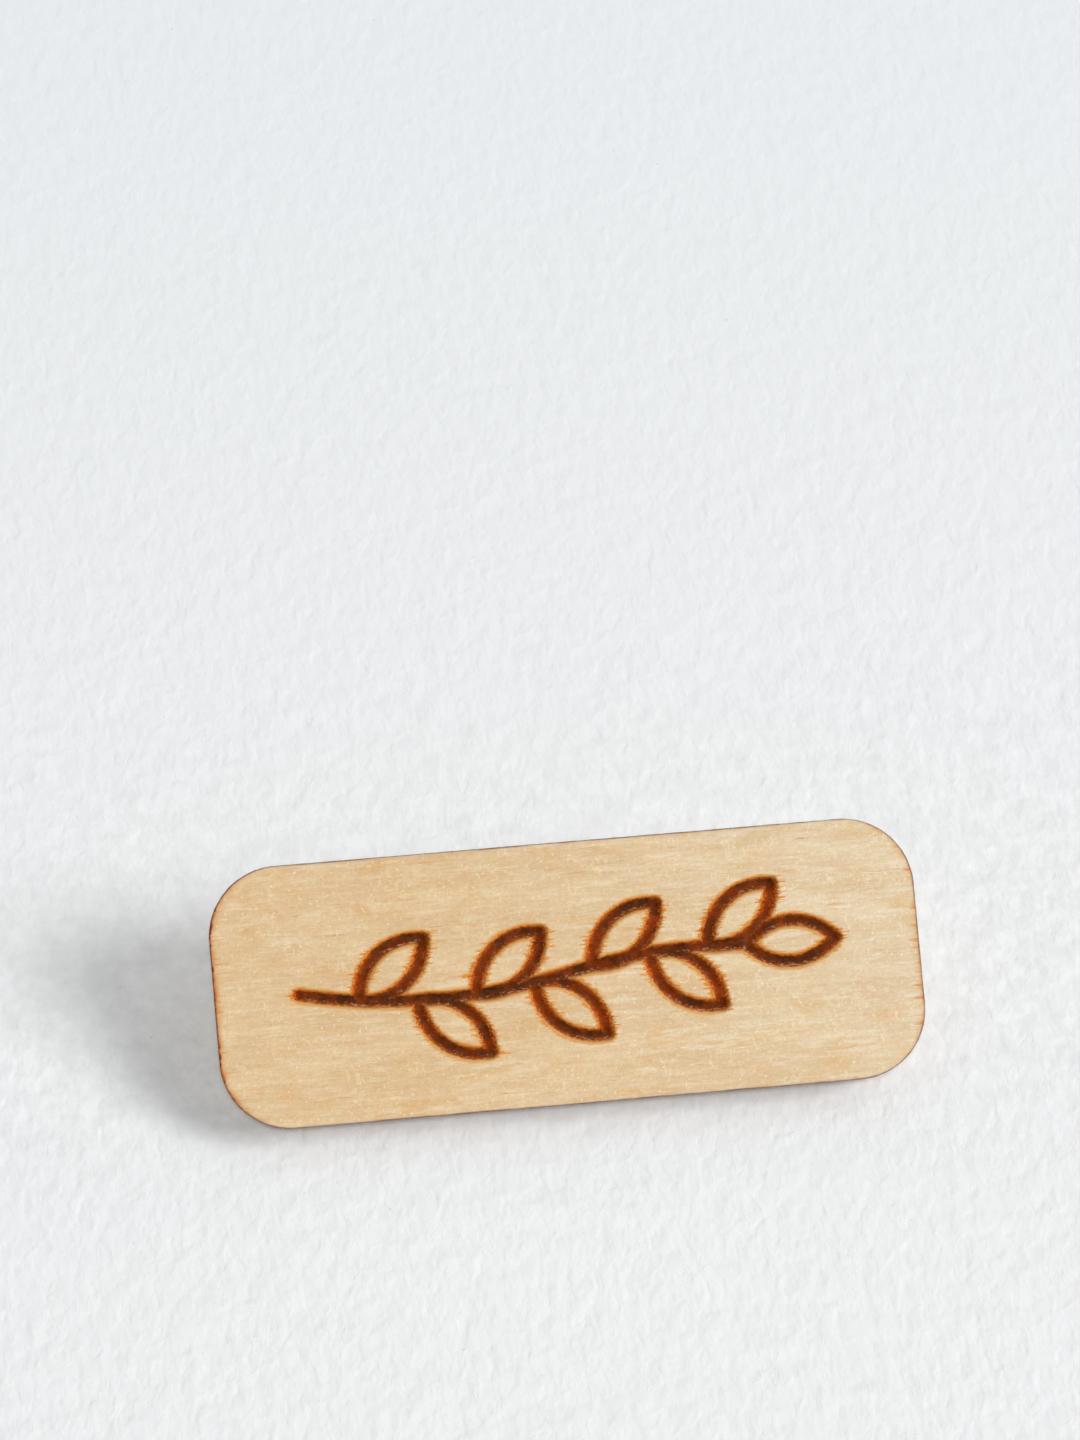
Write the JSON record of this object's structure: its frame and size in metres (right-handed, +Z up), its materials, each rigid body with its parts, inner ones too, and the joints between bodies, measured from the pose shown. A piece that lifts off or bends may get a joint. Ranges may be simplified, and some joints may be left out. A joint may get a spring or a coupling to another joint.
{
  "type": "plywood badge with bar pin",
  "caption": "Small round-cornered plywood badge with a burnt leaf sprig on its face and a glued-on bar pin with a hinged needle and a turning safety catch on its back.",
  "frame": {"origin": "on the needle's axis, at the middle of its plain stretch, needle closed", "axes": "+X along the badge's length towards the needle's tip; +Z up the badge's short side as worn; the burnt face looks along -Y and the pin is on the +Y side"},
  "size_m": [0.04, 0.0077, 0.0148],
  "materials": {
    "birch_face": "bare sanded birch veneer, laser burnt",
    "birch_core": "laser-cut end grain, scorched",
    "birch_back": "bare sanded birch veneer",
    "ply_glue": "cured resin, scorched at the cut edge",
    "adhesive": "clear cured adhesive, slightly yellow",
    "nickel_steel": "nickel plate over pressed steel",
    "needle_steel": "drawn and plated spring wire"
  },
  "bodies": {
    "badge": {"face_veneer": "birch_face", "front_glue_line": "ply_glue", "core_veneer": "birch_core", "rear_glue_line": "ply_glue", "back_veneer": "birch_back", "adhesive_bed": "adhesive", "pin_strip": "nickel_steel", "joint_bracket": "nickel_steel", "hinge_rivet": "nickel_steel", "catch_housing": "nickel_steel"},
    "pin_needle": {"needle": "needle_steel"},
    "catch": {"catch_rotor": "nickel_steel"}
  },
  "joints": [
    {"name": "needle_swing", "type": "hinge", "parent": "badge", "child": "pin_needle", "pos_m": [-0.0108, 0, 0], "axis": [0, 0, 1], "range_deg": [0, 130]},
    {"name": "catch_turn", "type": "hinge", "parent": "badge", "child": "catch", "pos_m": [0.0106, 0, 0], "axis": [1, 0, 0], "range_deg": [-95, 0]}
  ]
}
